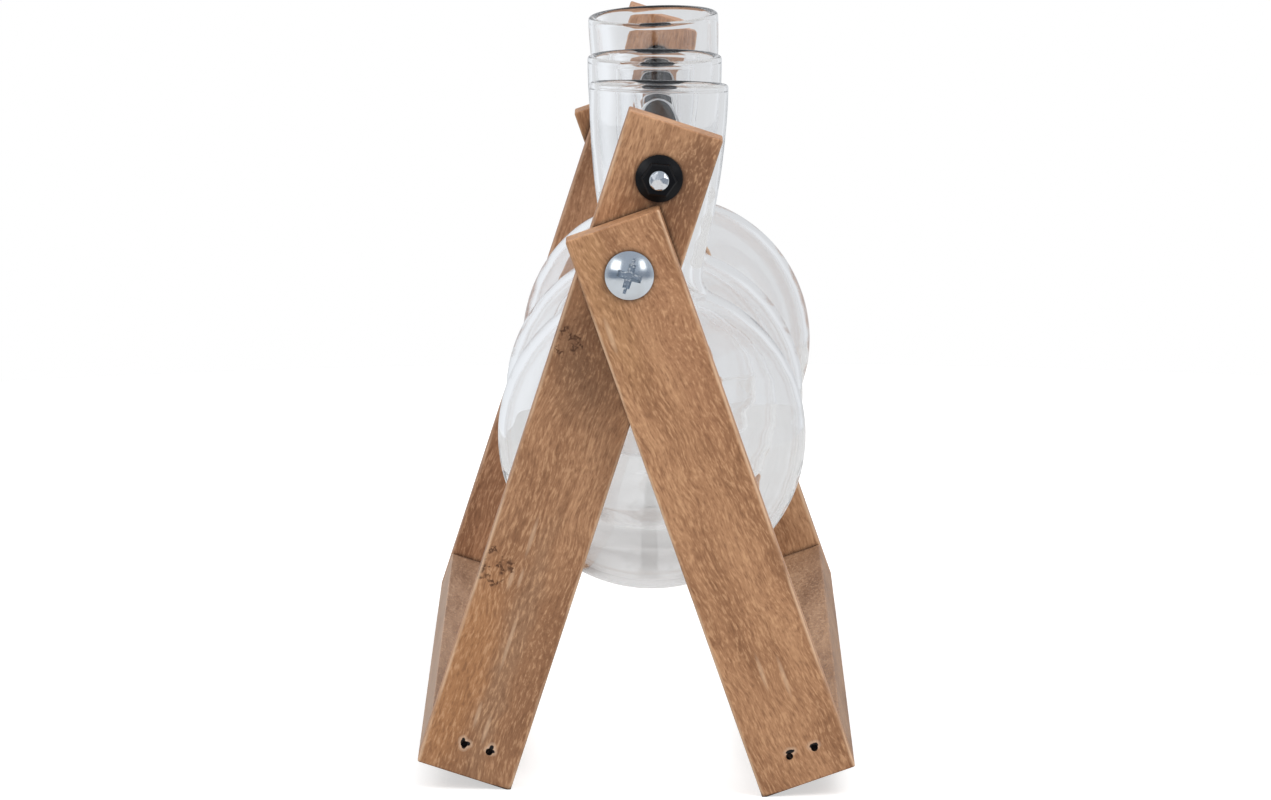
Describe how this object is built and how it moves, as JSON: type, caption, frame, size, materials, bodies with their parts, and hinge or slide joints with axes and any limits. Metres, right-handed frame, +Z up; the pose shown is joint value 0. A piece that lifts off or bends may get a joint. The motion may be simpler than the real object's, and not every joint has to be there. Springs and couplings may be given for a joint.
{
  "type": "propagation vase",
  "caption": "Clear glass bulbs with wide flared necks hang in a row on a sleeved rod across the top of a folding wooden A-shaped stand.",
  "frame": {"origin": "on the table, under the middle of the open stand", "axes": "+Z up, +Y along the rod from the pictured end to the far end, +X to the right seen from the pictured end"},
  "size_m": [0.1114, 0.3084, 0.1772],
  "materials": {
    "stained_wood": "sawn and sanded hardwood slats with a brown stain, no gloss",
    "clear_glass": "clear blown glass",
    "zinc_plate": "bright zinc plate",
    "black_plate": "black, half gloss",
    "black_sleeve": "black soft plastic tube",
    "nylon": "white nylon",
    "nail_steel": "plain dark wire"
  },
  "bodies": {
    "tall_frame": {"tall_leg_front": "stained_wood", "pivot_screw_front": "zinc_plate", "pivot_nut_front": "zinc_plate", "nut_washer_front": "zinc_plate", "pivot_washer_front": "nylon", "rod_nut_front": "black_plate", "tall_leg_rear": "stained_wood", "pivot_screw_rear": "zinc_plate", "pivot_nut_rear": "zinc_plate", "nut_washer_rear": "zinc_plate", "pivot_washer_rear": "nylon", "rod_nut_rear": "black_plate", "tall_foot_bar": "stained_wood", "tall_bar_nails": "nail_steel", "hanging_rod": "zinc_plate", "rod_sleeve": "black_sleeve"},
    "short_frame": {"short_leg_front": "stained_wood", "short_leg_rear": "stained_wood", "short_foot_bar": "stained_wood", "short_bar_nails": "nail_steel"},
    "front_bulb": {"bulb_front": "clear_glass"},
    "middle_bulb": {"bulb_middle": "clear_glass"},
    "rear_bulb": {"bulb_rear": "clear_glass"}
  },
  "joints": [
    {"name": "frame_fold", "type": "hinge", "parent": "tall_frame", "child": "short_frame", "pos_m": [-0.00108, 0, 0.1339], "axis": [0, -1, 0], "range_deg": [-25.5, 92.5]},
    {"name": "front_bulb_swing", "type": "hinge", "parent": "tall_frame", "child": "front_bulb", "pos_m": [0.00654, -0.083, 0.15706], "axis": [0, 1, 0], "continuous": true},
    {"name": "middle_bulb_swing", "type": "hinge", "parent": "tall_frame", "child": "middle_bulb", "pos_m": [0.00654, 0, 0.15706], "axis": [0, 1, 0], "continuous": true},
    {"name": "rear_bulb_swing", "type": "hinge", "parent": "tall_frame", "child": "rear_bulb", "pos_m": [0.00654, 0.083, 0.15706], "axis": [0, 1, 0], "continuous": true}
  ]
}
